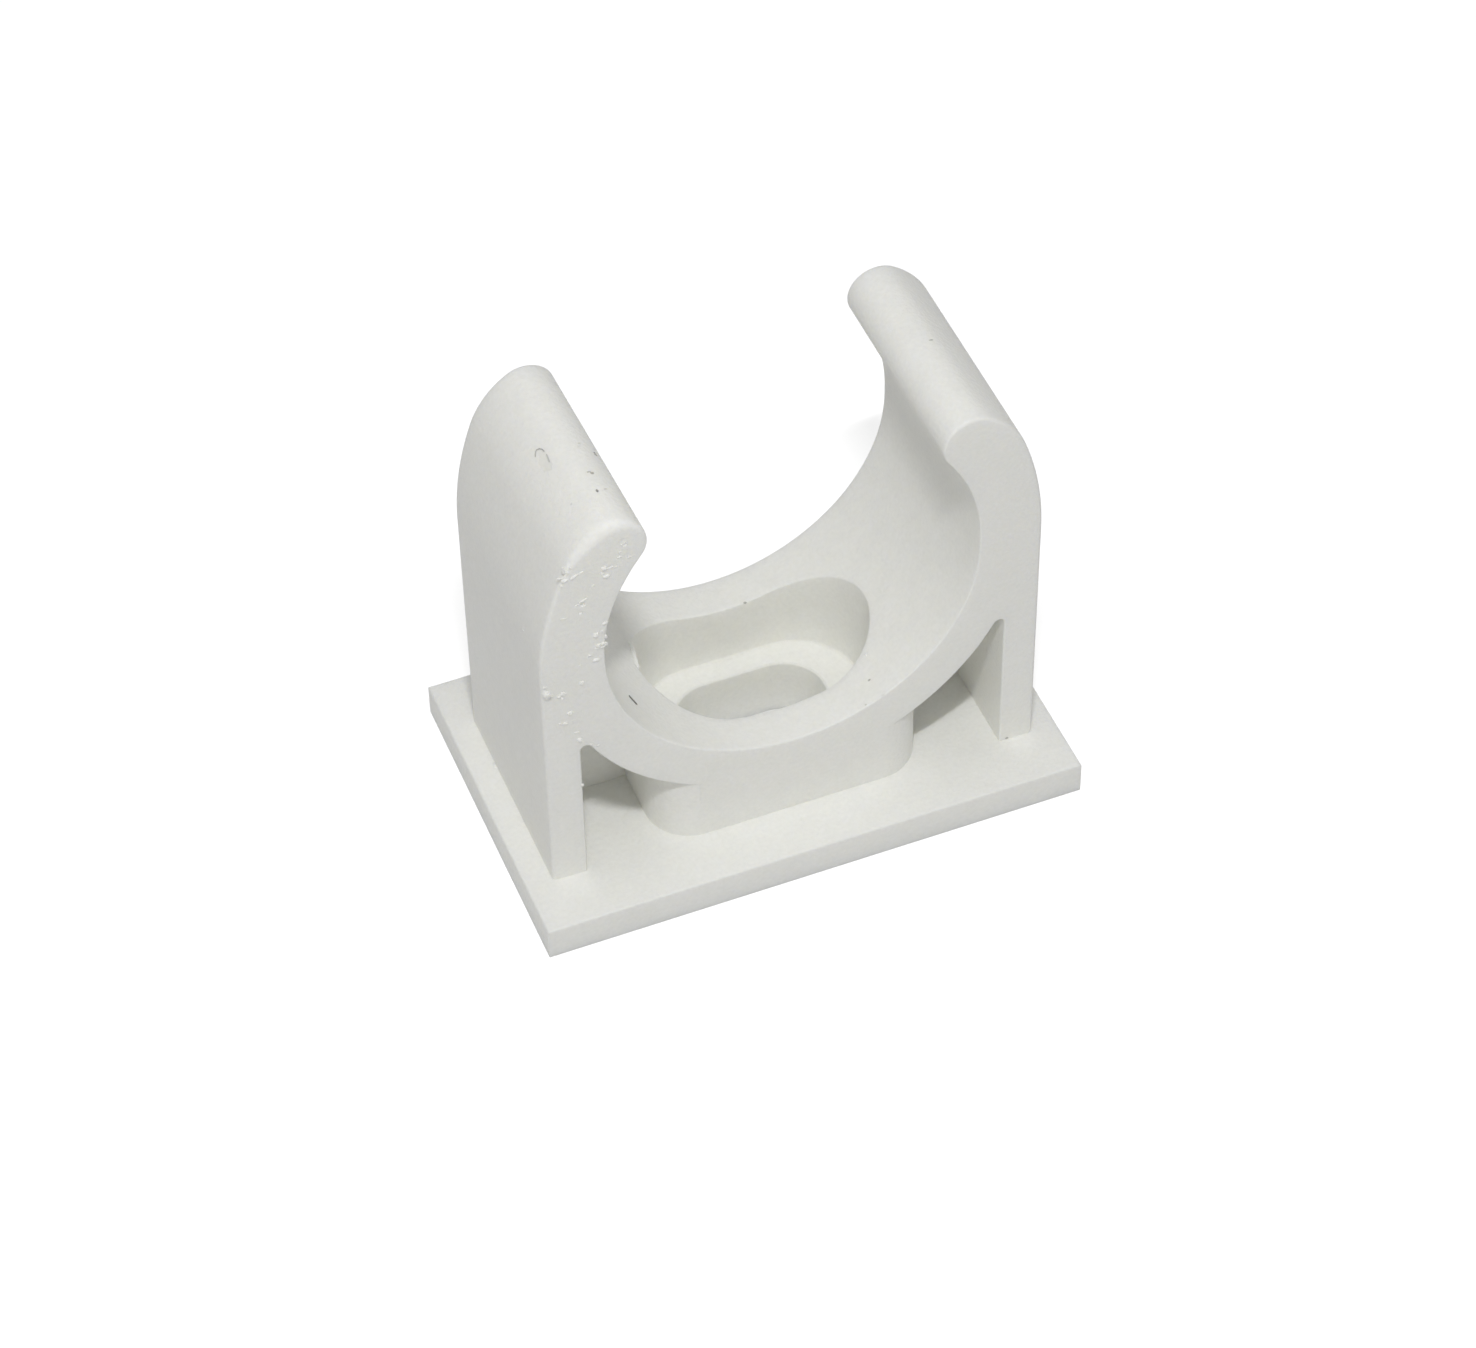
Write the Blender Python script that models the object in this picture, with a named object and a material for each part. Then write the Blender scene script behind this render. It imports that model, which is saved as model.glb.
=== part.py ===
"""Snap-in conduit clip, moulded in one piece of rigid plastic.

A rectangular base plate carries two upright arms that bow inwards to rounded lips. A saddle hangs
between the arms and holds the conduit in an arc of more than half a turn. A boss under the middle of
the saddle takes the fixing screw, whose head drops into a drafted pocket and bears on a flat seat round
a slot that lets the clip be slid sideways before it is tightened. A thin web in the middle of the depth
closes each of the two gaps between arm, saddle, boss and plate.

The clip stands on its base: X runs along the plate and across the conduit, Y along the conduit and
Z up, with the origin at the middle of the plate's underside.
"""

import math

import bmesh
import bpy

MM = 0.001

# Conduit bore, and the walls that stand round it
BORE_DIAMETER = 20.2 * MM
SADDLE_WALL = 2.5 * MM
ARM_WALL = 3.45 * MM
LEG_THICKNESS = 1.9 * MM
CLIP_DEPTH = 12.3 * MM
CORNER_ROUND = 0.3 * MM

# Outer faces of the arms, which bow inwards above the middle of the bore
ARM_BOW_RADIUS = 18.5 * MM
ARM_CROWN_RADIUS = 5.0 * MM

# Lips that the conduit snaps past, and the straight part of the bore's sides, above its middle
LIP_OVERHANG = 2.15 * MM
LIP_RADIUS = 1.62 * MM
BORE_STRAIGHT = 0.65 * MM

# Base plate, with its margins beyond the arms and the gap that it leaves under the saddle
PLATE_THICKNESS = 2.0 * MM
PLATE_END_MARGIN = 1.45 * MM
PLATE_SIDE_MARGIN = 3.15 * MM
SADDLE_CLEARANCE = 2.65 * MM

# Webs that stiffen the arms
WEB_THICKNESS = 1.5 * MM

# Screw boss with its pocket, the seat for the screw's head and the slot
POCKET_LENGTH = 12.4 * MM
POCKET_WIDTH = 7.4 * MM
POCKET_DRAFT = math.radians(2.0)
BOSS_WALL = 1.3 * MM
BOSS_CORNER_RADIUS = 2.45 * MM
SEAT_HEIGHT = 3.6 * MM
SLOT_LENGTH = 8.3 * MM
SLOT_WIDTH = 4.7 * MM

# Rounding of moulded edges: arms and bore, underside of the saddle, top of the plate
EDGE_ROUND = 0.15 * MM
UNDERSIDE_ROUND = 0.1 * MM
PLATE_EDGE_ROUND = 0.12 * MM

# Sizes and heights that follow from the ones above
BORE_RADIUS = BORE_DIAMETER / 2.0
SADDLE_RADIUS = BORE_RADIUS + SADDLE_WALL
BORE_HEIGHT = PLATE_THICKNESS + SADDLE_CLEARANCE + SADDLE_RADIUS
HALF_SPAN = BORE_RADIUS + ARM_WALL
PLATE_LENGTH = 2.0 * (HALF_SPAN + PLATE_END_MARGIN)
PLATE_DEPTH = CLIP_DEPTH + 2.0 * PLATE_SIDE_MARGIN
BOSS_LENGTH = POCKET_LENGTH + 2.0 * BOSS_WALL

# Arms and boss are rooted half way into the plate before they are fused with it
ROOT_HEIGHT = PLATE_THICKNESS / 2.0
CUT_MARGIN = 1.0 * MM

# The webs end in the arms where the middle of the saddle's wall has turned up to this angle
WEB_END_ANGLE = math.radians(20.0)

# Facets of the round surfaces, and the turn above which an edge is shaded sharp
ARC_STEP = math.radians(3.0)
LIP_STEP = math.radians(9.0)
CORNER_STEP = math.radians(18.0)
WEB_STEP = math.radians(10.0)
BOSS_CORNER_STEP = math.radians(15.0)
POCKET_END_STEP = math.radians(10.0)
EDGE_STEPS = 3
SHARP_ANGLE = math.radians(24.0)

PLASTIC_COLOUR = (0.90, 0.90, 0.865, 1.0)
PLASTIC_ROUGHNESS = 0.45


def clear_scene():
    """Remove every object so that the clip stands alone."""
    for item in list(bpy.data.objects):
        bpy.data.objects.remove(item, do_unlink=True)


def plastic():
    """Off-white rigid plastic with a satin surface."""
    material = bpy.data.materials.new("white_plastic")
    material.use_nodes = True
    shader = material.node_tree.nodes["Principled BSDF"]
    shader.inputs["Base Color"].default_value = PLASTIC_COLOUR
    shader.inputs["Roughness"].default_value = PLASTIC_ROUGHNESS
    shader.inputs["Metallic"].default_value = 0.0
    material.diffuse_color = PLASTIC_COLOUR
    return material


def arc(centre, radius, start, end, step):
    """Points along a circular arc, both ends included, no further apart than the step angle."""
    count = max(1, math.ceil(abs(end - start) / step))
    angles = [start + (end - start) * i / count for i in range(count + 1)]
    return [(centre[0] + radius * math.cos(a), centre[1] + radius * math.sin(a)) for a in angles]


def crown_tangents(bow, bow_radius, lip, lip_radius, crown_radius):
    """Centre of the crown arc that touches the bow and the lip from inside, and its two end angles."""
    span = math.dist(bow, lip)
    to_bow = bow_radius - crown_radius
    to_lip = crown_radius - lip_radius
    along = (to_bow ** 2 - to_lip ** 2 + span ** 2) / (2.0 * span)
    aside = math.sqrt(max(to_bow ** 2 - along ** 2, 0.0))
    ux, uz = (lip[0] - bow[0]) / span, (lip[1] - bow[1]) / span
    centre = (bow[0] + ux * along + uz * aside, bow[1] + uz * along - ux * aside)
    start = math.atan2(centre[1] - bow[1], centre[0] - bow[0])
    end = math.atan2(lip[1] - centre[1], lip[0] - centre[0])
    return centre, start, end


def outer_side():
    """Right half of the outer and conduit side: foot, bowed arm, lip, and bore to its lowest point."""
    bow_centre = (HALF_SPAN - ARM_BOW_RADIUS, BORE_HEIGHT)
    lip_x = BORE_RADIUS - LIP_OVERHANG + LIP_RADIUS
    lip_turn = math.acos(lip_x / (BORE_RADIUS + LIP_RADIUS))
    upper_height = BORE_HEIGHT + BORE_STRAIGHT
    lip_centre = (lip_x, upper_height + (BORE_RADIUS + LIP_RADIUS) * math.sin(lip_turn))
    crown_centre, crown_start, crown_end = crown_tangents(
        bow_centre, ARM_BOW_RADIUS, lip_centre, LIP_RADIUS, ARM_CROWN_RADIUS)

    points = [(HALF_SPAN, ROOT_HEIGHT)]
    points += arc(bow_centre, ARM_BOW_RADIUS, 0.0, crown_start, ARC_STEP)
    points += arc(crown_centre, ARM_CROWN_RADIUS, crown_start, crown_end, ARC_STEP)[1:]
    points += arc(lip_centre, LIP_RADIUS, crown_end, math.pi + lip_turn, LIP_STEP)[1:]
    points += arc((0.0, upper_height), BORE_RADIUS, lip_turn, 0.0, ARC_STEP)[1:]
    points += arc((0.0, BORE_HEIGHT), BORE_RADIUS, 0.0, -math.pi / 2.0, ARC_STEP)
    return points


def inner_side():
    """Right half of the underside: lowest point of the saddle, its arc, the rounded corner and the leg."""
    leg_face = HALF_SPAN - LEG_THICKNESS
    corner_x = leg_face - CORNER_ROUND
    reach = SADDLE_RADIUS + CORNER_ROUND
    corner_z = BORE_HEIGHT - math.sqrt(reach ** 2 - corner_x ** 2)
    touch = math.atan2(corner_z - BORE_HEIGHT, corner_x)

    points = arc((0.0, BORE_HEIGHT), SADDLE_RADIUS, -math.pi / 2.0, touch, ARC_STEP)
    points += arc((corner_x, corner_z), CORNER_ROUND, touch + math.pi, 0.0, CORNER_STEP)[1:]
    points.append((leg_face, ROOT_HEIGHT))
    return points


def section():
    """Closed outline of arms and saddle, counter-clockwise from the front, with each point's rounding."""
    outer = outer_side()
    inner = inner_side()
    left_outer = [(-x, z) for x, z in reversed(outer[:-1])]
    left_inner = [(-x, z) for x, z in reversed(inner[1:])]
    points = outer + left_outer + left_inner + inner
    count = len(outer) + len(left_outer)
    rounding = [EDGE_ROUND] * count + [UNDERSIDE_ROUND] * (len(points) - count)
    return points, rounding


def inset(points, distances):
    """Move each point of a counter-clockwise outline inwards by its own distance, square to its edges."""
    moved = []
    for i, (x, z) in enumerate(points):
        normals = []
        for a, b in ((points[i - 1], points[i]), (points[i], points[(i + 1) % len(points)])):
            length = math.dist(a, b)
            normals.append(((a[1] - b[1]) / length, (b[0] - a[0]) / length))
        (ax, az), (bx, bz) = normals
        scale = distances[i] / (1.0 + ax * bx + az * bz)
        moved.append((x + (ax + bx) * scale, z + (az + bz) * scale))
    return moved


def loft(name, rings):
    """Solid through rings of equal length, each joined to the next, with flat ends."""
    mesh = bpy.data.meshes.new(name)
    shape = bmesh.new()
    levels = [[shape.verts.new(point) for point in ring] for ring in rings]
    for low, high in zip(levels, levels[1:]):
        for i in range(len(low)):
            j = (i + 1) % len(low)
            shape.faces.new((low[i], low[j], high[j], high[i]))
    shape.faces.new(reversed(levels[0]))
    shape.faces.new(levels[-1])
    bmesh.ops.recalc_face_normals(shape, faces=shape.faces)
    shape.to_mesh(mesh)
    shape.free()
    item = bpy.data.objects.new(name, mesh)
    bpy.context.collection.objects.link(item)
    return item


def arms_and_saddle():
    """Extrude the section along the conduit, rolling its edges in at the front and the back."""
    points, rounding = section()
    turns = [math.pi / 2.0 * k / EDGE_STEPS for k in range(EDGE_STEPS + 1)]
    front = []
    for turn in turns:
        outline = inset(points, [r * (1.0 - math.sin(turn)) for r in rounding])
        depths = [CLIP_DEPTH / 2.0 - r * (1.0 - math.cos(turn)) for r in rounding]
        front.append([(x, -y, z) for (x, z), y in zip(outline, depths)])
    back = [[(x, -y, z) for x, y, z in ring] for ring in reversed(front)]
    return loft("conduit_clip", front + back)


def plate():
    """Base plate with sharp corners and a softened top edge."""
    half_length, half_depth = PLATE_LENGTH / 2.0, PLATE_DEPTH / 2.0
    corners = [(-half_length, -half_depth), (half_length, -half_depth),
               (half_length, half_depth), (-half_length, half_depth)]
    rings = [[(x, y, 0.0) for x, y in corners]]
    for k in range(EDGE_STEPS + 1):
        turn = math.pi / 2.0 * k / EDGE_STEPS
        outline = inset(corners, [PLATE_EDGE_ROUND * (1.0 - math.cos(turn))] * len(corners))
        height = PLATE_THICKNESS - PLATE_EDGE_ROUND * (1.0 - math.sin(turn))
        rings.append([(x, y, height) for x, y in outline])
    return loft("plate", rings)


def boss():
    """Screw boss, flush with the saddle's faces, its top hidden half way into the saddle's wall."""
    straight = BOSS_LENGTH / 2.0 - BOSS_CORNER_RADIUS
    corner_y = CLIP_DEPTH / 2.0 - BOSS_CORNER_RADIUS
    corner = arc((straight, corner_y), BOSS_CORNER_RADIUS, 0.0, math.pi / 2.0, BOSS_CORNER_STEP)
    stations = corner + [(0.0, CLIP_DEPTH / 2.0)] + [(-x, y) for x, y in reversed(corner)]
    middle_radius = (BORE_RADIUS + SADDLE_RADIUS) / 2.0
    rings = []
    for x, y in stations:
        top = BORE_HEIGHT - math.sqrt(middle_radius ** 2 - x ** 2)
        rings.append([(x, -y, ROOT_HEIGHT), (x, y, ROOT_HEIGHT), (x, y, top), (x, -y, top)])
    return loft("boss", rings)


def webs():
    """Plate across the gaps, its top hidden in the saddle's wall and its ends in the legs."""
    reach = HALF_SPAN - LEG_THICKNESS / 2.0
    middle_radius = (BORE_RADIUS + SADDLE_RADIUS) / 2.0
    top = arc((0.0, BORE_HEIGHT), middle_radius, -WEB_END_ANGLE, WEB_END_ANGLE - math.pi, WEB_STEP)
    outline = [(reach, top[0][1])] + top + [(-reach, top[-1][1]), (-reach, ROOT_HEIGHT), (reach, ROOT_HEIGHT)]
    half = WEB_THICKNESS / 2.0
    return loft("webs", [[(x, y, z) for x, z in outline] for y in (-half, half)])


def slot_ring(length, width, height):
    """Ring of points round a slot with half-round ends, at one height."""
    radius = width / 2.0
    straight = (length - width) / 2.0
    right = arc((straight, 0.0), radius, -math.pi / 2.0, math.pi / 2.0, POCKET_END_STEP)
    return [(x, y, height) for x, y in right + [(-x, -y) for x, y in right]]


def screw_hollow():
    """What the screw needs cut away: drafted pocket down to the seat, then slot to below the plate."""
    spread = 2.0 * (BORE_HEIGHT - SEAT_HEIGHT) * math.tan(POCKET_DRAFT)
    return loft("screw_hollow", [
        slot_ring(SLOT_LENGTH, SLOT_WIDTH, -CUT_MARGIN),
        slot_ring(SLOT_LENGTH, SLOT_WIDTH, SEAT_HEIGHT),
        slot_ring(POCKET_LENGTH, POCKET_WIDTH, SEAT_HEIGHT),
        slot_ring(POCKET_LENGTH + spread, POCKET_WIDTH + spread, BORE_HEIGHT),
    ])


def combine(item, tool, operation):
    """Apply one Boolean step to the item and remove the tool."""
    modifier = item.modifiers.new(operation.lower(), "BOOLEAN")
    modifier.operation = operation
    modifier.solver = "EXACT"
    modifier.object = tool
    bpy.context.view_layer.update()
    result = bpy.data.meshes.new_from_object(item.evaluated_get(bpy.context.evaluated_depsgraph_get()))
    item.modifiers.clear()
    item.data = result
    bpy.data.objects.remove(tool, do_unlink=True)


def conduit_clip():
    """The whole moulding: arms and saddle, plate, boss and webs fused, with the screw hollow cut out."""
    clip = arms_and_saddle()
    combine(clip, plate(), "UNION")
    combine(clip, boss(), "UNION")
    combine(clip, webs(), "UNION")
    combine(clip, screw_hollow(), "DIFFERENCE")
    clip.data.name = "conduit_clip"
    clip.data.materials.clear()
    clip.data.materials.append(plastic())
    clip.data.shade_smooth()
    clip.data.set_sharp_from_angle(angle=SHARP_ANGLE)
    return clip


clear_scene()
conduit_clip()
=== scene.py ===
"""Looks of the conduit clip: a fine mesh with its marks, satin plastic, studio and camera."""

import math
import random

import bmesh
import bpy
from mathutils import Matrix, Vector, noise


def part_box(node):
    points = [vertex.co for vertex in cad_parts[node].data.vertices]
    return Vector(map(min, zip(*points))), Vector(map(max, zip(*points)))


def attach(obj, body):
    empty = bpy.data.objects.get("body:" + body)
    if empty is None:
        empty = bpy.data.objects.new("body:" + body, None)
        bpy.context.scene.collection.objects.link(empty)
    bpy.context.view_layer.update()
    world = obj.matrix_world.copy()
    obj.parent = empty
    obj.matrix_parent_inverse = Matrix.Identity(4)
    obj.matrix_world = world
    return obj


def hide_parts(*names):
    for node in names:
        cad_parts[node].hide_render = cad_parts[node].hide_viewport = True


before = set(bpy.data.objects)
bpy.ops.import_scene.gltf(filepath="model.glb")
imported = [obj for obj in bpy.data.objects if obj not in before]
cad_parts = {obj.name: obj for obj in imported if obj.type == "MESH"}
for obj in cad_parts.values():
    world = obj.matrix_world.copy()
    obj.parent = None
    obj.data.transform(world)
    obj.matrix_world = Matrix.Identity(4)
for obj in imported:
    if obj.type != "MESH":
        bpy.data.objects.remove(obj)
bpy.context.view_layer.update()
node_low, node_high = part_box("conduit_clip")

MM = 0.001

# Sizes of the moulding, as in the frame
PLATE_LENGTH = node_high.x - node_low.x
PLATE_DEPTH = node_high.y - node_low.y
PLATE_THICKNESS = 2.0 * MM
SADDLE_CLEARANCE = 2.65 * MM
SADDLE_WALL = 2.5 * MM
ARM_WALL = 3.45 * MM
BORE_RADIUS = 10.1 * MM
SADDLE_RADIUS = BORE_RADIUS + SADDLE_WALL
BORE_HEIGHT = PLATE_THICKNESS + SADDLE_CLEARANCE + SADDLE_RADIUS
HALF_SPAN = BORE_RADIUS + ARM_WALL
LEG_THICKNESS = 1.9 * MM
CLIP_DEPTH = 12.3 * MM
CORNER_ROUND = 0.3 * MM
ARM_BOW_RADIUS = 18.5 * MM
ARM_CROWN_RADIUS = 5.0 * MM
LIP_OVERHANG = 2.15 * MM
LIP_RADIUS = 1.62 * MM
BORE_STRAIGHT = 0.65 * MM
WEB_THICKNESS = 1.5 * MM
WEB_END_ANGLE = math.radians(20.0)
POCKET_LENGTH = 12.4 * MM
POCKET_WIDTH = 7.4 * MM
POCKET_DRAFT = math.radians(2.0)
BOSS_WALL = 1.3 * MM
BOSS_LENGTH = POCKET_LENGTH + 2.0 * BOSS_WALL
BOSS_CORNER_RADIUS = 2.45 * MM
SEAT_HEIGHT = 3.6 * MM
SLOT_LENGTH = 8.3 * MM
SLOT_WIDTH = 4.7 * MM
FRONT = -CLIP_DEPTH / 2.0

# Where the hidden roots of the parts end, inside the plate and inside the saddle's wall
ROOT_HEIGHT = PLATE_THICKNESS / 2.0
ROOT_RADIUS = (BORE_RADIUS + SADDLE_RADIUS) / 2.0

# Roundings of the moulded edges; the front of the left crown is rounder than the rest
OUTER_ROUND = 0.2 * MM
LEFT_CROWN_ROUND = 0.6 * MM
BORE_ROUND = 0.11 * MM
UNDERSIDE_ROUND = 0.1 * MM
PLATE_ROUND = 0.12 * MM
RIM_ROUND = 0.09 * MM
SEAT_EDGE_ROUND = 0.22 * MM
SEAT_CORNER_ROUND = 0.2 * MM

# How far the left lip leans in at its front end, and the height over which it does
LIP_LEAN = 0.3 * MM
LEAN_HEIGHT = 7.0 * MM

# Height above the bore's middle from which the left crown's rounding grows, and over which it does
CROWN_START = 6.0 * MM
CROWN_RISE = 3.0 * MM

# Facets
ARC_STEP = math.radians(1.2)
CROWN_STEP = 2.0 * ARC_STEP
LIP_STEP = math.radians(4.0)
CORNER_STEP = math.radians(10.0)
END_STEP = math.radians(4.0)
RIM_SPACING = 0.25 * MM
RING_SPACING = 0.4 * MM
ROUND_STEPS = 6
SEAT_STEPS = 3
SHARP_ANGLE = math.radians(24.0)

# Cutting of the screw hollow: how far it starts below the plate, how far its rim ends above the
# bore's surface, and the passes that find where the drafted wall meets the bore
CUT_MARGIN = 1.0 * MM
RIM_CLEARANCE = 0.006 * MM
RIM_PASSES = 4

# Camera, as the photograph was taken: it aims at a point on the floor, and it sees what lies
# between the two last distances, in metres
VIEW_AZIMUTH = math.radians(-21.17)
VIEW_ELEVATION = math.radians(46.91)
VIEW_ROLL = math.radians(-1.08)
VIEW_AIM = Vector((1.39, 5.48, 0.0)) * MM
VIEW_DISTANCE = 241.15 * MM
FOCAL_LENGTH_MM = 108.07
SENSOR_WIDTH_MM = 36.0
NEAREST_SEEN = 0.01
FARTHEST_SEEN = 10.0

# Lamps: place, length and width in metres, and power in watts; then the even surround's strength
KEY_LAMP = ((-0.038, -0.102, 0.210), 0.024, 0.0025)
KEY_POWER = 0.219
FILL_LAMP = ((-0.35, -0.02, 0.25), 0.3, 0.3)
FILL_POWER = 0.04
SURROUND_STRENGTH = 0.388

# Nibs on the left arm's front face, in mm: across, height, width, tallness, how far out, and tilt
# in degrees
NIBS = (
    (-12.03, 24.26, 0.17, 0.42, 0.07, 8), (-11.62, 24.28, 0.15, 0.13, 0.05, 0),
    (-11.97, 23.55, 0.36, 0.18, 0.09, 10), (-11.50, 23.62, 0.42, 0.15, 0.08, 35),
    (-11.16, 23.74, 0.30, 0.12, 0.05, 30), (-12.15, 23.21, 0.15, 0.13, 0.05, 0),
    (-12.24, 23.78, 0.24, 0.12, 0.06, 0), (-11.80, 23.98, 0.13, 0.12, 0.04, 0),
    (-9.93, 23.59, 0.30, 0.21, 0.10, 0), (-9.62, 23.52, 0.28, 0.09, 0.05, 5),
    (-9.32, 23.47, 0.22, 0.08, 0.04, 12), (-9.84, 23.02, 0.34, 0.21, 0.10, 0),
    (-10.05, 23.27, 0.15, 0.12, 0.05, 0), (-9.13, 24.06, 0.24, 0.14, 0.05, 0),
    (-8.62, 23.86, 0.18, 0.10, 0.04, 0), (-9.10, 24.36, 0.20, 0.12, 0.03, 30),
    (-11.11, 21.83, 0.44, 0.12, 0.07, 20), (-11.42, 21.62, 0.22, 0.08, 0.04, 15),
    (-12.12, 20.97, 0.30, 0.10, 0.04, 0), (-10.52, 22.63, 0.14, 0.10, 0.04, 0),
    (-10.02, 19.82, 0.27, 0.21, 0.09, 0), (-10.54, 19.20, 0.28, 0.24, 0.11, 0),
    (-10.16, 19.28, 0.18, 0.30, 0.05, 15), (-10.42, 18.38, 0.28, 0.24, 0.10, 25),
    (-10.20, 18.42, 0.20, 0.22, 0.09, 0), (-10.03, 18.38, 0.18, 0.20, 0.08, 0),
    (-10.28, 18.24, 0.52, 0.10, 0.08, 0), (-10.02, 18.85, 0.14, 0.22, 0.06, 0),
    (-10.90, 17.85, 0.15, 0.17, 0.06, 0), (-10.58, 17.43, 0.36, 0.20, 0.10, 0),
    (-11.42, 17.36, 0.12, 0.10, 0.03, 0), (-11.39, 16.10, 0.25, 0.21, 0.10, 0),
    (-13.33, 16.56, 0.20, 0.18, 0.07, 0), (-13.26, 15.98, 0.40, 0.60, 0.19, 12),
    (-13.05, 15.80, 0.20, 0.26, 0.10, 0), (-12.40, 15.72, 0.30, 0.26, 0.11, 0),
    (-12.60, 15.60, 0.26, 0.14, 0.07, 20), (-12.44, 15.40, 0.16, 0.12, 0.06, 0),
    (-12.10, 14.19, 0.26, 0.22, 0.09, 0), (-12.39, 13.55, 0.28, 0.18, 0.10, 0),
    (-12.66, 13.62, 0.18, 0.08, 0.03, 0), (-11.80, 12.63, 0.28, 0.14, 0.05, 0),
    (-11.67, 12.02, 0.24, 0.25, 0.11, 0), (-11.66, 8.62, 0.15, 0.17, 0.07, 0),
    (-11.08, 11.46, 0.14, 0.11, 0.05, 0), (-10.72, 11.22, 0.16, 0.10, 0.04, 0),
)

# Pits in the left arm's front face, in mm: across, height, width, tallness and depth
FRONT_PITS = (
    (-11.13, 21.52, 0.34, 0.26, 0.09), (-11.25, 21.02, 0.19, 0.26, 0.09),
    (-13.12, 15.74, 0.13, 0.13, 0.10), (-8.95, 25.05, 0.40, 0.42, 0.05),
    (-8.84, 24.78, 0.30, 0.26, 0.05), (-10.75, 25.05, 0.22, 0.16, 0.03),
)

# Pits in the lips, the bore, the pocket and the right foot, in mm: place, the way out, half length,
# half width and depth
PITS = (
    ((-8.42, -0.73, 25.80), (0.67, 0.0, 0.74), 0.17, 0.11, 0.08),
    ((-9.22, -2.34, 26.24), (0.27, 0.0, 0.96), 0.10, 0.09, 0.07),
    ((-9.34, -2.22, 26.27), (0.12, 0.0, 0.99), 0.05, 0.12, 0.04),
    ((-9.47, -3.62, 26.28), (0.12, 0.0, 0.99), 0.10, 0.07, 0.08),
    ((-9.01, -3.57, 26.17), (0.41, 0.0, 0.91), 0.06, 0.09, 0.04),
    ((-8.98, -0.08, 26.17), (0.41, 0.0, 0.91), 0.05, 0.10, 0.03),
    ((-9.07, -0.30, 26.20), (0.27, 0.0, 0.96), 0.04, 0.10, 0.03),
    ((-10.80, -3.51, 25.80), (-0.60, 0.0, 0.80), 0.08, 0.09, 0.03),
    ((-10.86, -0.15, 25.74), (-0.62, 0.0, 0.78), 0.80, 0.34, 0.04),
    ((1.23, 3.84, 7.20), (0.0, -0.7, 0.7), 0.10, 0.07, 0.08),
    ((4.69, -4.78, 8.31), (-0.48, 0.0, 0.88), 0.07, 0.09, 0.06),
    ((9.91, 0.00, 26.24), (0.18, 0.0, 0.98), 0.05, 0.12, 0.05),
    ((12.10, -6.15, 2.10), (0.0, -1.0, 0.2), 0.10, 0.08, 0.08),
    ((3.95, -6.02, 7.98), (-0.30, -0.7, 0.6), 0.08, 0.06, 0.06),
    ((4.90, -6.06, 8.35), (-0.30, -0.7, 0.6), 0.07, 0.05, 0.05),
    ((-7.84, -3.86, 10.90), (0.78, 0.0, 0.63), 0.12, 0.16, 0.10),
)

# Painted shade and dirt in each of these pits, a dark colour laid in them, from none to full
PIT_SHADE_AND_DIRT = (0.5, 0.5, 0.4, 0.6, 0.25, 0.2, 0.2, 0.15, 0.06, 0.45, 0.4, 0.4, 0.35, 0.25, 0.25, 0.85)

# Ridges of flash on the pocket's rim, the bore and the left arm's outer face, as the pits, with the
# height in place of the depth
RIDGES = (
    ((-6.13, 1.20, 9.24), (0.45, 0.0, 0.89), 0.50, 0.10, 0.13),
    ((-6.27, 0.55, 9.33), (0.45, 0.0, 0.89), 0.50, 0.12, 0.17),
    ((-6.36, 0.00, 9.41), (0.45, 0.0, 0.89), 0.45, 0.09, 0.12),
    ((5.15, -3.30, 8.58), (-0.48, 0.0, 0.88), 0.10, 0.12, 0.09),
    ((-13.51, -3.77, 18.43), (-1.0, 0.0, 0.0), 0.14, 0.06, 0.05),
    ((-13.62, 2.60, 2.02), (-0.7, 0.0, 0.7), 0.20, 0.10, 0.08),
)

# Grooves, in mm: the points along each, the way out, half width, depth, and the painted shade and
# dirt in it from none to full
GROOVES = (
    (((-11.07, 0.50, 25.55), (-11.03, 0.62, 25.59), (-10.96, 0.71, 25.65), (-10.88, 0.74, 25.71),
      (-10.78, 0.68, 25.79), (-10.70, 0.53, 25.85), (-10.66, 0.30, 25.88)),
     (-0.64, 0.0, 0.77), 0.04, 0.05, 0.45),
    (((-10.66, 0.05, 25.88), (-10.69, -0.27, 25.86), (-10.71, -0.45, 25.85)),
     (-0.60, 0.0, 0.80), 0.05, 0.05, 0.35),
    (((-8.00, -3.58, 11.10), (-7.90, -3.76, 10.97), (-7.81, -3.92, 10.85)),
     (0.78, 0.0, 0.63), 0.12, 0.10, 0.85),
)

# Distance in mm between the lumps that cut a groove, and their length as a share of their width
GROOVE_SPACING = 0.06
GROOVE_STRETCH = 1.2

# How deep a nib's middle is sunk, as a share of its height, and how much its sizes are enlarged
NIB_SINK = 0.15
NIB_SWELL = 1.15

# Fineness of a nib and of any other lump, and height and scale of each layer of its roughness
NIB_DETAIL = 3
LUMP_DETAIL = 2
LUMP_LAYERS = ((0.3, 1.1), (0.12, 2.6))

# Where a lump lies in the noise: the range of the random draw, the step per seed and a fixed height
NOISE_REACH = 50.0
NOISE_STEP = 7.0
NOISE_LEVEL = 3.0

# First seed of each kind of mark; the nibs start at 0
FRONT_PIT_SEED = 100
PIT_SEED = 200
RIDGE_SEED = 300
GROOVE_SEED = 400

# A mark lies on a front face if more than this share of its way out runs along the depth
FRONT_SHARE = 0.5

# How far round a pit its painted shade and dirt reach, as a share of the pit's own size, and at the
# very most
SHADE_AND_DIRT_REACH = 1.35
SHADE_AND_DIRT_LIMIT = 1.0 * MM

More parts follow.
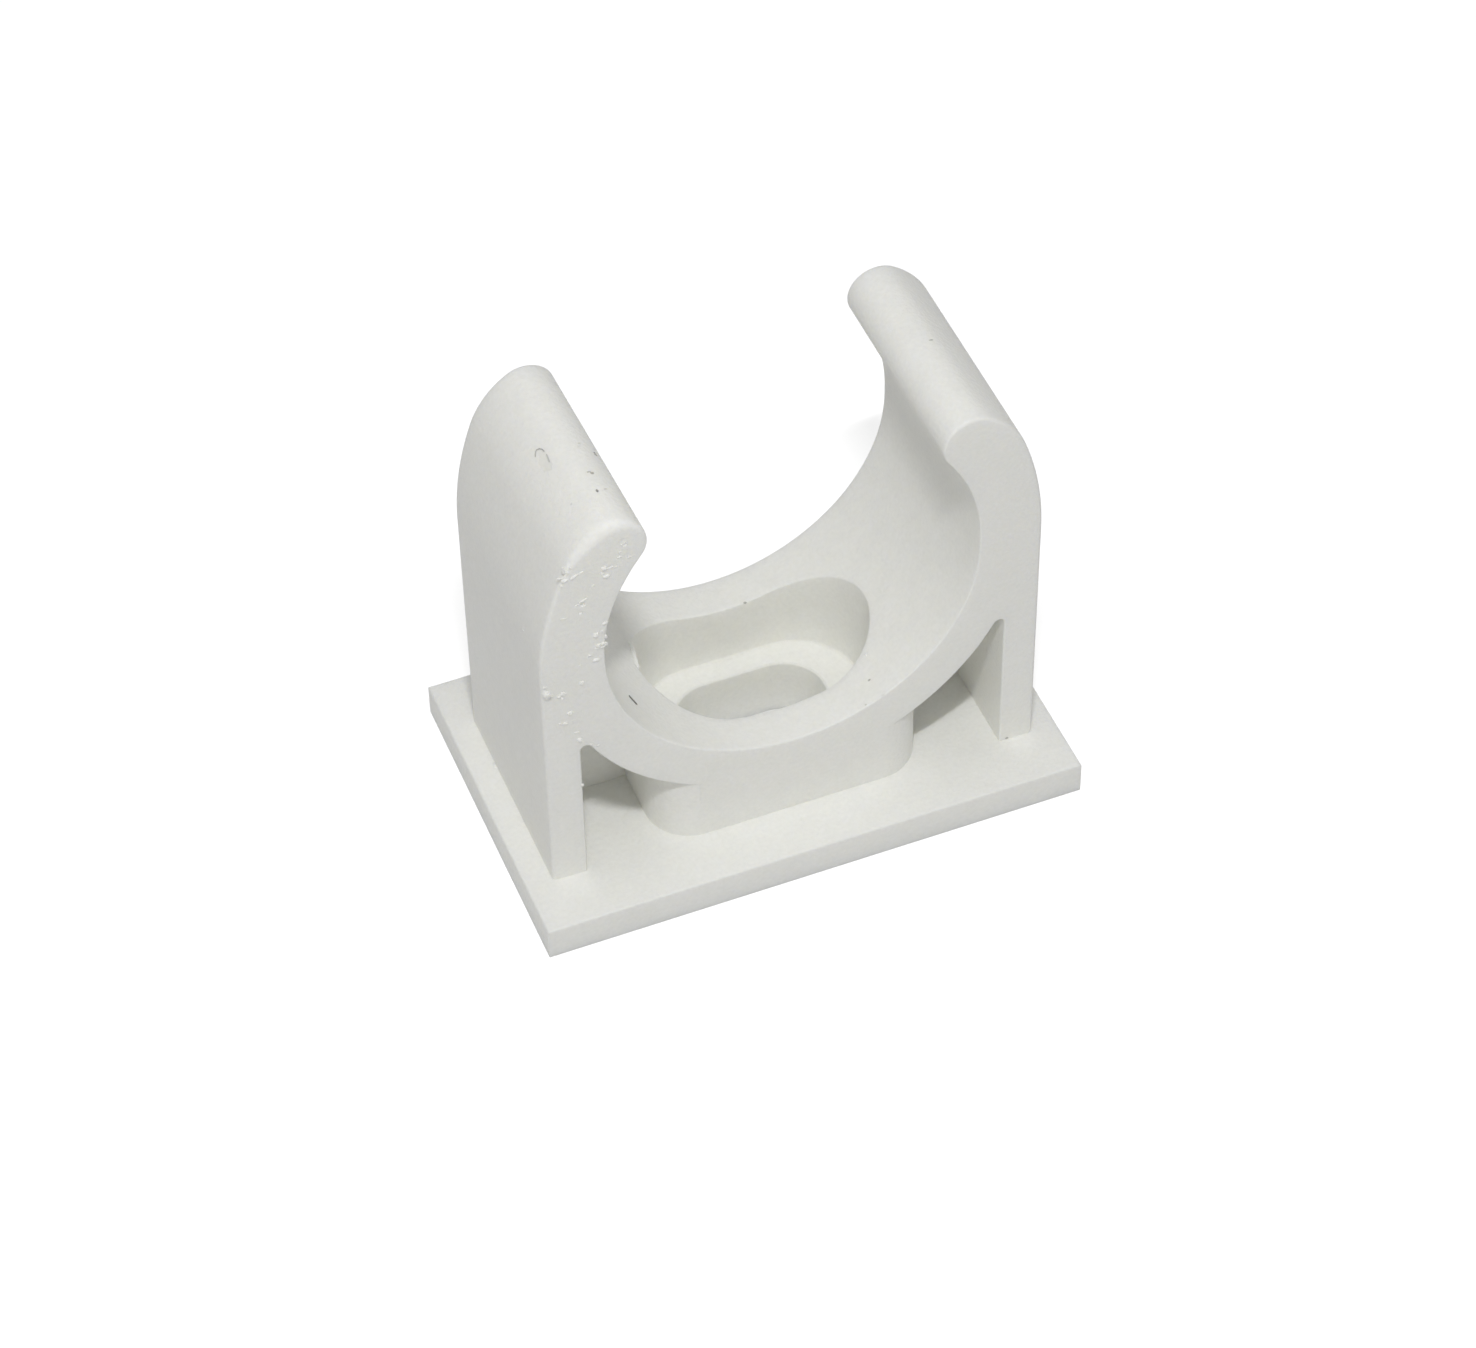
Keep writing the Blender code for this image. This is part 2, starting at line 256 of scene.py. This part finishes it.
# Plastic: its colours and sheen, and the sizes, details and ranges of the noise in it
PLASTIC_COLOUR = (0.968, 0.968, 0.922, 1.0)
# Dark colour painted into the pits and grooves, for the shade and dirt in them
SHADE_AND_DIRT_COLOUR = (0.10, 0.095, 0.075, 1.0)
PLASTIC_SPECULAR = 0.25
SUBSURFACE_WEIGHT = 0.35
SUBSURFACE_RADIUS = (1.5, 1.4, 1.1)
MOTTLE_SIZE = 1.4 * MM
MOTTLE_DETAIL = 4.0
MOTTLE_RANGE = (0.965, 0.995)
SPECKLE_SIZE = 0.22 * MM
SPECKLE_DETAIL = 2.0
SPECKLE_RANGE = (0.95, 1.0)
ROUGHNESS_RANGE = (0.46, 0.56)
GRAIN_HEIGHT = 0.035 * MM
NOISE_RANGE = (0.25, 0.75)
WHITE = (1.0, 1.0, 1.0, 1.0)
BLACK = (0.0, 0.0, 0.0, 1.0)

# Floor: its tone and glow, half its size, and how far it lies below the plate; and the patch under
# the plate: its tone, its drop, and how far it ends inside the plate's outline
FLOOR_TONE = 0.7
FLOOR_GLOW = 0.6
FLOOR_REACH = 0.6
FLOOR_DROP = 0.02 * MM
PATCH_TONE = 0.9
PATCH_DROP = 0.01 * MM
PATCH_MARGIN = 1.0 * MM

# The faces of the body and of the marks on it, told apart until their shading is set
PLAIN = bpy.data.materials.new("plain")
MARKED = bpy.data.materials.new("marked")


def arc(centre, radius, start, end, step):
    """Points along a circular arc, both ends included, no further apart than the step angle."""
    count = max(1, math.ceil(abs(end - start) / step))
    angles = [start + (end - start) * i / count for i in range(count + 1)]
    return [(centre[0] + radius * math.cos(a), centre[1] + radius * math.sin(a)) for a in angles]


def smoothstep(value):
    """Smooth rise from 0 to 1."""
    t = min(1.0, max(0.0, value))
    return t * t * (3.0 - 2.0 * t)


def crown_tangents(bow, bow_radius, lip, lip_radius, crown_radius):
    """Centre and end angles of the crown arc that touches the bow and the lip from inside."""
    span = math.dist(bow, lip)
    to_bow = bow_radius - crown_radius
    to_lip = crown_radius - lip_radius
    along = (to_bow ** 2 - to_lip ** 2 + span ** 2) / (2.0 * span)
    aside = math.sqrt(max(to_bow ** 2 - along ** 2, 0.0))
    ux, uz = (lip[0] - bow[0]) / span, (lip[1] - bow[1]) / span
    centre = (bow[0] + ux * along + uz * aside, bow[1] + uz * along - ux * aside)
    start = math.atan2(centre[1] - bow[1], centre[0] - bow[0])
    end = math.atan2(lip[1] - centre[1], lip[0] - centre[0])
    return centre, start, end


def outer_side():
    """Right half of the outer and conduit side; its numbers of points up to and on the lip."""
    bow_centre = (HALF_SPAN - ARM_BOW_RADIUS, BORE_HEIGHT)
    lip_x = BORE_RADIUS - LIP_OVERHANG + LIP_RADIUS
    lip_turn = math.acos(lip_x / (BORE_RADIUS + LIP_RADIUS))
    upper_height = BORE_HEIGHT + BORE_STRAIGHT
    lip_centre = (lip_x, upper_height + (BORE_RADIUS + LIP_RADIUS) * math.sin(lip_turn))
    crown_centre, crown_start, crown_end = crown_tangents(
        bow_centre, ARM_BOW_RADIUS, lip_centre, LIP_RADIUS, ARM_CROWN_RADIUS)

    points = [(HALF_SPAN, ROOT_HEIGHT)]
    points += arc(bow_centre, ARM_BOW_RADIUS, 0.0, crown_start, ARC_STEP)
    points += arc(crown_centre, ARM_CROWN_RADIUS, crown_start, crown_end, CROWN_STEP)[1:]
    arm_count = len(points)
    lip = arc(lip_centre, LIP_RADIUS, crown_end, math.pi + lip_turn, LIP_STEP)[1:]
    points += lip
    points += arc((0.0, upper_height), BORE_RADIUS, lip_turn, 0.0, ARC_STEP)[1:]
    points += arc((0.0, BORE_HEIGHT), BORE_RADIUS, 0.0, -math.pi / 2.0, ARC_STEP)
    return points, arm_count, len(lip)


def edge_rounding(points, arm_count, lip_count, crown_round):
    """Rounding of the edge at each point of the outer side, with that of the crown as given."""
    rounding = []
    for i, (_, z) in enumerate(points):
        crown = smoothstep((z - BORE_HEIGHT - CROWN_START) / CROWN_RISE)
        arm = OUTER_ROUND + (crown_round - OUTER_ROUND) * crown
        lip = smoothstep((i + 1 - arm_count) / lip_count)
        rounding.append(arm + (BORE_ROUND - arm) * lip)
    return rounding


def inner_side():
    """Right half of the underside, from the saddle's lowest point to the foot of the leg."""
    leg_face = HALF_SPAN - LEG_THICKNESS
    corner_x = leg_face - CORNER_ROUND
    reach = SADDLE_RADIUS + CORNER_ROUND
    corner_z = BORE_HEIGHT - math.sqrt(reach ** 2 - corner_x ** 2)
    touch = math.atan2(corner_z - BORE_HEIGHT, corner_x)

    points = arc((0.0, BORE_HEIGHT), SADDLE_RADIUS, -math.pi / 2.0, touch, ARC_STEP)
    points += arc((corner_x, corner_z), CORNER_ROUND, touch + math.pi, 0.0, CORNER_STEP)[1:]
    points.append((leg_face, ROOT_HEIGHT))
    return points


def section(left_crown_round):
    """Closed outline of arms and saddle, counter-clockwise, and the rounding at each point."""
    outer, arm_count, lip_count = outer_side()
    inner = inner_side()
    left_outer = [(-x, z) for x, z in reversed(outer[:-1])]
    left_inner = [(-x, z) for x, z in reversed(inner[1:])]
    rounding = edge_rounding(outer, arm_count, lip_count, OUTER_ROUND)
    rounding += edge_rounding(outer, arm_count, lip_count, left_crown_round)[-2::-1]
    rounding += [UNDERSIDE_ROUND] * (len(left_inner) + len(inner))
    return outer + left_outer + left_inner + inner, rounding


def inset(points, distances):
    """Counter-clockwise outline with each point moved inwards by its own distance."""
    moved = []
    for i, (x, z) in enumerate(points):
        normals = []
        for a, b in ((points[i - 1], points[i]), (points[i], points[(i + 1) % len(points)])):
            length = math.dist(a, b)
            normals.append(((a[1] - b[1]) / length, (b[0] - a[0]) / length))
        (ax, az), (bx, bz) = normals
        scale = distances[i] / (1.0 + ax * bx + az * bz)
        moved.append((x + (ax + bx) * scale, z + (az + bz) * scale))
    return moved


def rectangle(half_length, half_depth):
    """Corners of a rectangle round the origin, counter-clockwise."""
    return [(-half_length, -half_depth), (half_length, -half_depth),
            (half_length, half_depth), (-half_length, half_depth)]


def quarter(steps=ROUND_STEPS):
    """Angles through a quarter turn."""
    return [math.pi / 2.0 * k / steps for k in range(steps + 1)]


def linked(name, data):
    """Object of that mesh, light or camera in the scene."""
    item = bpy.data.objects.new(name, data)
    bpy.context.scene.collection.objects.link(item)
    return item


def loft(name, rings):
    """Solid through rings of equal length, each joined to the next, with flat ends."""
    mesh = bpy.data.meshes.new(name)
    mesh.materials.append(PLAIN)
    shape = bmesh.new()
    levels = [[shape.verts.new(point) for point in ring] for ring in rings]
    for low, high in zip(levels, levels[1:]):
        for i in range(len(low)):
            j = (i + 1) % len(low)
            shape.faces.new((low[i], low[j], high[j], high[i]))
    shape.faces.new(reversed(levels[0]))
    shape.faces.new(levels[-1])
    bmesh.ops.recalc_face_normals(shape, faces=shape.faces)
    shape.to_mesh(mesh)
    shape.free()
    return linked(name, mesh)


def rolled_end(left_crown_round):
    """Rings over the rounded edge of the front end, from its face inwards."""
    points, rounding = section(left_crown_round)
    rings = []
    for turn in quarter():
        outline = inset(points, [r * (1.0 - math.sin(turn)) for r in rounding])
        depths = [CLIP_DEPTH / 2.0 - r * (1.0 - math.cos(turn)) for r in rounding]
        rings.append([(x, -y, z) for (x, z), y in zip(outline, depths)])
    return rings


def arms_and_saddle():
    """The section extruded along the conduit, its edges rolled in at the front and the back."""
    front = rolled_end(LEFT_CROWN_ROUND)
    back = [[(x, -y, z) for x, y, z in ring] for ring in reversed(rolled_end(OUTER_ROUND))]
    count = round(CLIP_DEPTH / RING_SPACING)
    middle = []
    for k in range(1, count):
        middle.append([(x, near * (1.0 - k / count) + far * k / count, z)
                       for (x, near, z), (_, far, _) in zip(front[-1], back[0])])
    return loft("clip", front + middle + back)


def plate():
    """Base plate with sharp corners and a softened top edge."""
    corners = rectangle(PLATE_LENGTH / 2.0, PLATE_DEPTH / 2.0)
    rings = [[(x, y, 0.0) for x, y in corners]]
    for turn in quarter():
        outline = inset(corners, [PLATE_ROUND * (1.0 - math.cos(turn))] * len(corners))
        height = PLATE_THICKNESS - PLATE_ROUND * (1.0 - math.sin(turn))
        rings.append([(x, y, height) for x, y in outline])
    return loft("plate", rings)


def boss():
    """Screw boss, flush with the saddle's faces, its top hidden half way into the saddle's wall."""
    straight = BOSS_LENGTH / 2.0 - BOSS_CORNER_RADIUS
    corner_y = CLIP_DEPTH / 2.0 - BOSS_CORNER_RADIUS
    corner = arc((straight, corner_y), BOSS_CORNER_RADIUS, 0.0, math.pi / 2.0, END_STEP)
    stations = corner + [(0.0, CLIP_DEPTH / 2.0)] + [(-x, y) for x, y in reversed(corner)]
    rings = []
    for x, y in stations:
        top = BORE_HEIGHT - math.sqrt(ROOT_RADIUS ** 2 - x ** 2)
        rings.append([(x, -y, ROOT_HEIGHT), (x, y, ROOT_HEIGHT), (x, y, top), (x, -y, top)])
    return loft("boss", rings)


def webs():
    """Plate across the gaps, its top hidden in the saddle's wall and its ends in the legs."""
    reach = HALF_SPAN - LEG_THICKNESS / 2.0
    top = arc((0.0, BORE_HEIGHT), ROOT_RADIUS, -WEB_END_ANGLE, WEB_END_ANGLE - math.pi, END_STEP)
    outline = [(reach, top[0][1])] + top + [(-reach, top[-1][1])]
    outline += [(-reach, ROOT_HEIGHT), (reach, ROOT_HEIGHT)]
    half = WEB_THICKNESS / 2.0
    return loft("webs", [[(x, y, z) for x, z in outline] for y in (-half, half)])


def slot_outline(length, width):
    """Points round a slot with half-round ends, each with the direction out of the slot."""
    radius = width / 2.0
    straight = (length - width) / 2.0
    half = []
    for x, y in arc((0.0, 0.0), 1.0, -math.pi / 2.0, math.pi / 2.0, END_STEP):
        half.append((Vector((straight + radius * x, radius * y)), Vector((x, y))))
    count = max(1, round(2.0 * straight / RIM_SPACING))
    for k in range(1, count):
        half.append((Vector((straight - 2.0 * straight * k / count, radius)), Vector((0.0, 1.0))))
    return half + [(-place, -out) for place, out in half]


def bore_floor(x):
    """Height of the bore's surface at that distance from its middle."""
    return BORE_HEIGHT - math.sqrt(BORE_RADIUS ** 2 - x ** 2)


def rim_points(place, out):
    """Points up the pocket's wall and round its rim onto the bore, at one place of its outline."""
    lean = math.tan(POCKET_DRAFT)
    edge = place.copy()
    for _ in range(RIM_PASSES):
        edge = place + out * lean * (bore_floor(edge.x) - SEAT_HEIGHT)
    corner = Vector((edge.x, edge.y, bore_floor(edge.x)))
    wall = Vector((-out.x * lean, -out.y * lean, -1.0)).normalized()
    slope = edge.x / math.sqrt(BORE_RADIUS ** 2 - edge.x ** 2)
    surface = Vector((out.x, out.y, slope * out.x)).normalized()
    start = corner + wall * RIM_ROUND
    end = corner + surface * RIM_ROUND + Vector((0.0, 0.0, RIM_CLEARANCE))
    points = []
    for k in range(ROUND_STEPS + 1):
        t = k / ROUND_STEPS
        points.append(start * (1.0 - t) ** 2 + corner * 2.0 * t * (1.0 - t) + end * t ** 2)
    points.append(Vector((points[-1].x, points[-1].y, BORE_HEIGHT)))
    return points


def screw_hollow():
    """Slot with a softened edge, seat, and drafted pocket whose rim rounds over onto the bore."""
    slot = slot_outline(SLOT_LENGTH, SLOT_WIDTH)
    pocket = slot_outline(POCKET_LENGTH, POCKET_WIDTH)
    longest = max(len(slot), len(pocket))
    slot = resampled(slot, longest)
    pocket = resampled(pocket, longest)

    rings = [[(*place, -CUT_MARGIN) for place, _ in slot]]
    for turn in quarter(SEAT_STEPS):
        height = SEAT_HEIGHT - SEAT_EDGE_ROUND * (1.0 - math.sin(turn))
        rings.append([(*(place + out * SEAT_EDGE_ROUND * (1.0 - math.cos(turn))), height)
                      for place, out in slot])
    for turn in quarter(SEAT_STEPS):
        height = SEAT_HEIGHT + SEAT_CORNER_ROUND * (1.0 - math.cos(turn))
        pull = SEAT_CORNER_ROUND * (1.0 - math.sin(turn))
        rings.append([(*(place - out * pull), height) for place, out in pocket])
    rings += [list(ring) for ring in zip(*[rim_points(place, out) for place, out in pocket])]
    return loft("screw_hollow", rings)


def resampled(outline, count):
    """The same closed outline with that many points, starting at the same one."""
    picked = []
    for k in range(count):
        position = k * len(outline) / count
        i = int(position)
        t = position - i
        (a, a_out), (b, b_out) = outline[i], outline[(i + 1) % len(outline)]
        picked.append((a.lerp(b, t), a_out.lerp(b_out, t).normalized()))
    return picked


def combine(item, tool, operation, overlapping=False):
    """Apply one Boolean step to the item and remove the tool."""
    modifier = item.modifiers.new(operation.lower(), "BOOLEAN")
    modifier.operation = operation
    modifier.solver = "EXACT"
    modifier.use_self = overlapping
    modifier.material_mode = "TRANSFER"
    modifier.object = tool
    bpy.context.view_layer.update()
    evaluated = item.evaluated_get(bpy.context.evaluated_depsgraph_get())
    result = bpy.data.meshes.new_from_object(evaluated)
    item.modifiers.clear()
    item.data = result
    bpy.data.objects.remove(tool, do_unlink=True)


def leaned(place):
    """Where a point of the straight clip lies once the front of its left lip leans in."""
    x, y, z = place
    if x >= 0.0:
        return Vector(place)
    height = smoothstep((z - BORE_HEIGHT) / LEAN_HEIGHT)
    front = (CLIP_DEPTH / 2.0 - y) / CLIP_DEPTH
    return Vector((x + LIP_LEAN * height * front, y, z))


def lumps(name, entries, detail=LUMP_DETAIL):
    """Small irregular lumps in one mesh, each given by its place, axes, half sizes and seed."""
    mesh = bpy.data.meshes.new(name)
    mesh.materials.append(MARKED)
    shape = bmesh.new()
    for place, axes, sizes, seed in entries:
        rough = bmesh.ops.create_icosphere(shape, subdivisions=detail, radius=1.0)["verts"]
        draw = random.Random(seed).uniform(0.0, NOISE_REACH)
        shift = Vector((draw, NOISE_STEP * seed, NOISE_LEVEL))
        for vertex in rough:
            swell = 1.0
            for height, scale in LUMP_LAYERS:
                swell += height * noise.noise(vertex.co * scale + shift)
            local = vertex.co * swell
            offsets = [axis * local[i] * sizes[i] for i, axis in enumerate(axes)]
            vertex.co = place + sum(offsets, Vector())
    bmesh.ops.recalc_face_normals(shape, faces=shape.faces)
    shape.to_mesh(mesh)
    shape.free()
    return linked(name, mesh)


def nibs():
    """Specks of flash that stand out of the left arm's front face."""
    entries = []
    for seed, (x, z, width, tall, out, tilt) in enumerate(NIBS):
        turn = math.radians(tilt)
        across = Vector((math.cos(turn), 0.0, math.sin(turn)))
        upwards = Vector((-math.sin(turn), 0.0, math.cos(turn)))
        place = Vector((x * MM, FRONT + out * MM * NIB_SINK, z * MM))
        axes = (across, Vector((0.0, 1.0, 0.0)), upwards)
        sizes = (width / 2.0, out, tall / 2.0)
        entries.append((place, axes, [size * NIB_SWELL * MM for size in sizes], seed))
    return lumps("nibs", entries, NIB_DETAIL)


def front_pits():
    """Hollows in the left arm's front face."""
    axes = (Vector((1.0, 0.0, 0.0)), Vector((0.0, 1.0, 0.0)), Vector((0.0, 0.0, 1.0)))
    entries = []
    for seed, (x, z, width, tall, depth) in enumerate(FRONT_PITS, FRONT_PIT_SEED):
        sizes = (width * MM / 2.0, depth * MM, tall * MM / 2.0)
        entries.append((Vector((x * MM, FRONT, z * MM)), axes, sizes, seed))
    return lumps("front_pits", entries)


def scars(rows, first_seed):
    """Lumps on the surface, from rows of place, way out, half sizes and depth or height."""
    entries = []
    for seed, (place, out, half_length, half_width, height) in enumerate(rows, first_seed):
        outwards = Vector(out).normalized()
        along = Vector((0.0, 1.0, 0.0))
        if outwards.z == 0.0 and outwards.x > 0.0:
            along = Vector((0.0, 0.0, 1.0))
        elif abs(outwards.y) > FRONT_SHARE:
            along = Vector((1.0, 0.0, 0.0))
        across = outwards.cross(along).normalized()
        along = across.cross(outwards)
        sizes = (half_length * MM, half_width * MM, height * MM)
        entries.append((Vector(place) * MM, (along, across, outwards), sizes, seed))
    return entries


def groove_scars(first_seed):
    """Rows of small lumps along each groove, with the groove's painted shade and dirt."""
    entries, shade_and_dirt = [], []
    for points, out, half_width, depth, shade_and_dirt_level in GROOVES:
        for a, b in zip(points, points[1:]):
            count = max(1, round(math.dist(a, b) / GROOVE_SPACING))
            for k in range(count):
                place = Vector(a).lerp(Vector(b), k / count)
                row = (place, out, half_width * GROOVE_STRETCH, half_width, depth)
                entries += scars([row], first_seed + len(entries))
                shade_and_dirt.append(shade_and_dirt_level)
    return entries, shade_and_dirt


def mark_shade_and_dirt(item, entries):
    """Note on each face that lies wholly in a pit how much painted shade and dirt it takes, from 0
    to 1.
    """
    mesh = item.data
    shade_and_dirt = mesh.attributes.new("shade_and_dirt", "FLOAT", "FACE")
    for place, axes, sizes, strength in entries:
        inside = set()
        for vertex in mesh.vertices:
            gap = vertex.co - place
            if gap.length < SHADE_AND_DIRT_LIMIT:
                shares = Vector([gap.dot(axis) / size for axis, size in zip(axes, sizes)])
                if shares.length < SHADE_AND_DIRT_REACH:
                    inside.add(vertex.index)
        for face in mesh.polygons:
            if inside.issuperset(face.vertices):
                shade_and_dirt.data[face.index].value = strength


def moulding():
    """The whole clip: its parts fused, the screw hollow cut out, and the marks of its making."""
    clip = arms_and_saddle()
    combine(clip, plate(), "UNION")
    combine(clip, boss(), "UNION")
    combine(clip, webs(), "UNION")
    combine(clip, screw_hollow(), "DIFFERENCE")
    combine(clip, lumps("ridges", scars(RIDGES, RIDGE_SEED)), "UNION", overlapping=True)
    grooves, groove_shade_and_dirt = groove_scars(GROOVE_SEED)
    hollows = scars(PITS, PIT_SEED) + grooves
    combine(clip, lumps("pits", hollows), "DIFFERENCE", overlapping=True)
    for vertex in clip.data.vertices:
        vertex.co = leaned(vertex.co)
    combine(clip, nibs(), "UNION", overlapping=True)
    combine(clip, front_pits(), "DIFFERENCE", overlapping=True)
    # Mark how much painted shade and dirt each face in a pit or groove takes
    mark_shade_and_dirt(clip, [(leaned(place), axes, sizes, shade_and_dirt_level)
                     for (place, axes, sizes, _), shade_and_dirt_level in zip(hollows, list(PIT_SHADE_AND_DIRT) + groove_shade_and_dirt)])
    return clip


def ranged(nodes, links, source, low, high):
    """Stretch a noise value to the given range."""
    spread = nodes.new("ShaderNodeMapRange")
    spread.inputs["From Min"].default_value = NOISE_RANGE[0]
    spread.inputs["From Max"].default_value = NOISE_RANGE[1]
    spread.inputs["To Min"].default_value = low
    spread.inputs["To Max"].default_value = high
    links.new(source, spread.inputs["Value"])
    return spread.outputs["Result"]


def grain(nodes, links, place, size, detail):
    """Noise over the object's own space, its features of about that size in metres."""
    texture = nodes.new("ShaderNodeTexNoise")
    texture.inputs["Scale"].default_value = 1.0 / size
    texture.inputs["Detail"].default_value = detail
    links.new(place, texture.inputs["Vector"])
    return texture.outputs["Fac"]


def material_nodes(name):
    """New material, with its nodes, their links and its shader."""
    material = bpy.data.materials.new(name)
    material.use_nodes = True
    nodes = material.node_tree.nodes
    return material, nodes, material.node_tree.links, nodes["Principled BSDF"]


def plastic():
    """Off-white satin plastic, slightly mottled, with a fine moulded grain and painted shade and
    dirt in pits.
    """
    material, nodes, links, shader = material_nodes("white_plastic")
    place = nodes.new("ShaderNodeTexCoord").outputs["Object"]

    mottle = grain(nodes, links, place, MOTTLE_SIZE, MOTTLE_DETAIL)
    speckle = grain(nodes, links, place, SPECKLE_SIZE, SPECKLE_DETAIL)
    tone = nodes.new("ShaderNodeMath")
    tone.operation = "MULTIPLY"
    links.new(ranged(nodes, links, mottle, *MOTTLE_RANGE), tone.inputs[0])
    links.new(ranged(nodes, links, speckle, *SPECKLE_RANGE), tone.inputs[1])
    shade = nodes.new("ShaderNodeMix")
    shade.data_type = "RGBA"
    shade.inputs["A"].default_value = BLACK
    shade.inputs["B"].default_value = PLASTIC_COLOUR
    links.new(tone.outputs[0], shade.inputs["Factor"])

    # Dark colour painted into the pits for the shade and dirt in them, by the amount noted on each
    # face
    shade_and_dirt = nodes.new("ShaderNodeAttribute")
    shade_and_dirt.attribute_name = "shade_and_dirt"
    shaded_and_soiled = nodes.new("ShaderNodeMix")
    shaded_and_soiled.data_type = "RGBA"
    shaded_and_soiled.inputs["B"].default_value = SHADE_AND_DIRT_COLOUR
    links.new(shade.outputs["Result"], shaded_and_soiled.inputs["A"])
    links.new(shade_and_dirt.outputs["Fac"], shaded_and_soiled.inputs["Factor"])
    links.new(shaded_and_soiled.outputs["Result"], shader.inputs["Base Color"])

    links.new(ranged(nodes, links, mottle, *ROUGHNESS_RANGE), shader.inputs["Roughness"])
    bump = nodes.new("ShaderNodeBump")
    bump.inputs["Distance"].default_value = GRAIN_HEIGHT
    links.new(speckle, bump.inputs["Height"])
    links.new(bump.outputs["Normal"], shader.inputs["Normal"])

    shader.inputs["Specular IOR Level"].default_value = PLASTIC_SPECULAR
    shader.inputs["Subsurface Weight"].default_value = SUBSURFACE_WEIGHT
    shader.inputs["Subsurface Radius"].default_value = SUBSURFACE_RADIUS
    shader.inputs["Subsurface Scale"].default_value = MM
    return material


def edge_marks(mesh):
    """Make edges sharp where a mark meets the body, so that it shades nothing round it."""
    marked = mesh.materials.find(MARKED.name)
    shape = bmesh.new()
    shape.from_mesh(mesh)
    for edge in shape.edges:
        if len({face.material_index == marked for face in edge.link_faces}) > 1:
            edge.smooth = False
    for face in shape.faces:
        face.material_index = 0
    shape.to_mesh(mesh)
    shape.free()


def dress(item):
    """Smooth shading that keeps flat faces flat and real edges sharp."""
    item.data.shade_smooth()
    item.data.set_sharp_from_angle(angle=SHARP_ANGLE)
    edge_marks(item.data)
    item.data.materials.clear()
    item.data.materials.append(plastic())
    for material in (PLAIN, MARKED):
        bpy.data.materials.remove(material)
    weighting = item.modifiers.new("flat_faces", "WEIGHTED_NORMAL")
    weighting.keep_sharp = True


def sheet(name, half_length, half_depth, drop):
    """Level rectangle that lies that far below the plate's underside."""
    mesh = bpy.data.meshes.new(name)
    corners = [(x, y, 0.0) for x, y in rectangle(half_length, half_depth)]
    mesh.from_pydata(corners, [], [(0, 1, 2, 3)])
    item = linked(name, mesh)
    item.location.z = -drop
    return item


def dull(item, tone):
    """Give the item a grey without any gloss; return the nodes, their links and the shader."""
    material, nodes, links, shader = material_nodes(item.name)
    shader.inputs["Base Color"].default_value = (tone, tone, tone, 1.0)
    shader.inputs["Roughness"].default_value = 1.0
    shader.inputs["Specular IOR Level"].default_value = 0.0
    item.data.materials.append(material)
    return nodes, links, shader


def floor():
    """Pale floor that looks white to the camera and keeps the object's shadow."""
    item = sheet("floor", FLOOR_REACH, FLOOR_REACH, FLOOR_DROP)
    nodes, links, shader = dull(item, FLOOR_TONE)
    light_path = nodes.new("ShaderNodeLightPath")
    seen = light_path.outputs["Is Camera Ray"]
    for kind in ("Is Glossy Ray", "Is Transmission Ray"):
        either = nodes.new("ShaderNodeMath")
        either.operation = "MAXIMUM"
        links.new(seen, either.inputs[0])
        links.new(light_path.outputs[kind], either.inputs[1])
        seen = either.outputs[0]
    glow = nodes.new("ShaderNodeMath")
    glow.operation = "MULTIPLY"
    glow.inputs[1].default_value = FLOOR_GLOW
    links.new(seen, glow.inputs[0])
    shader.inputs["Emission Color"].default_value = WHITE
    links.new(glow.outputs[0], shader.inputs["Emission Strength"])


def under_plate():
    """The floor seen through the screw slot, which gets no glow of its own."""
    item = sheet("floor_under_plate", PLATE_LENGTH / 2.0 - PATCH_MARGIN,
                 PLATE_DEPTH / 2.0 - PATCH_MARGIN, PATCH_DROP)
    dull(item, PATCH_TONE)


def put_at(item, place, axes):
    """Put the item at that place, its own axes along those given."""
    item.matrix_world = Matrix.Translation(place) @ Matrix(axes).transposed().to_4x4()


def lamp(name, placing, power):
    """Soft lamp at that place, facing the clip, its length level and along the plate."""
    place, length, width = placing
    light = bpy.data.lights.new(name, "AREA")
    light.shape = "RECTANGLE"
    light.size = length
    light.size_y = width
    light.energy = power
    middle = Vector(place)
    back = (middle - Vector((0.0, 0.0, BORE_HEIGHT))).normalized()
    along = Vector((0.0, 1.0, 0.0)).cross(back).normalized()
    across = back.cross(along)
    put_at(linked(name, light), middle, (along, across, back))


def studio():
    """A narrow lamp near the camera, a soft fill from the left, and an even white surround."""
    lamp("key", KEY_LAMP, KEY_POWER)
    lamp("fill", FILL_LAMP, FILL_POWER)
    world = bpy.data.worlds.new("studio")
    world.use_nodes = True
    background = world.node_tree.nodes["Background"]
    background.inputs["Color"].default_value = WHITE
    background.inputs["Strength"].default_value = SURROUND_STRENGTH
    bpy.context.scene.world = world
    bpy.context.scene.view_settings.view_transform = "Standard"


def camera():
    """The photograph's viewpoint."""
    lens = bpy.data.cameras.new("camera")
    lens.lens = FOCAL_LENGTH_MM
    lens.sensor_width = SENSOR_WIDTH_MM
    lens.clip_start = NEAREST_SEEN
    lens.clip_end = FARTHEST_SEEN
    back = Vector((math.sin(VIEW_AZIMUTH) * math.cos(VIEW_ELEVATION),
                   -math.cos(VIEW_AZIMUTH) * math.cos(VIEW_ELEVATION),
                   math.sin(VIEW_ELEVATION)))
    level_right = Vector((math.cos(VIEW_AZIMUTH), math.sin(VIEW_AZIMUTH), 0.0))
    level_up = back.cross(level_right)
    right = level_right * math.cos(VIEW_ROLL) + level_up * math.sin(VIEW_ROLL)
    up = back.cross(right)
    item = linked("camera", lens)
    put_at(item, VIEW_AIM + back * VIEW_DISTANCE, (right, up, back))
    bpy.context.scene.camera = item


clip = moulding()
dress(clip)
clip.name = "clip"
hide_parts("conduit_clip")
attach(clip, "root")
floor()
under_plate()
studio()
camera()
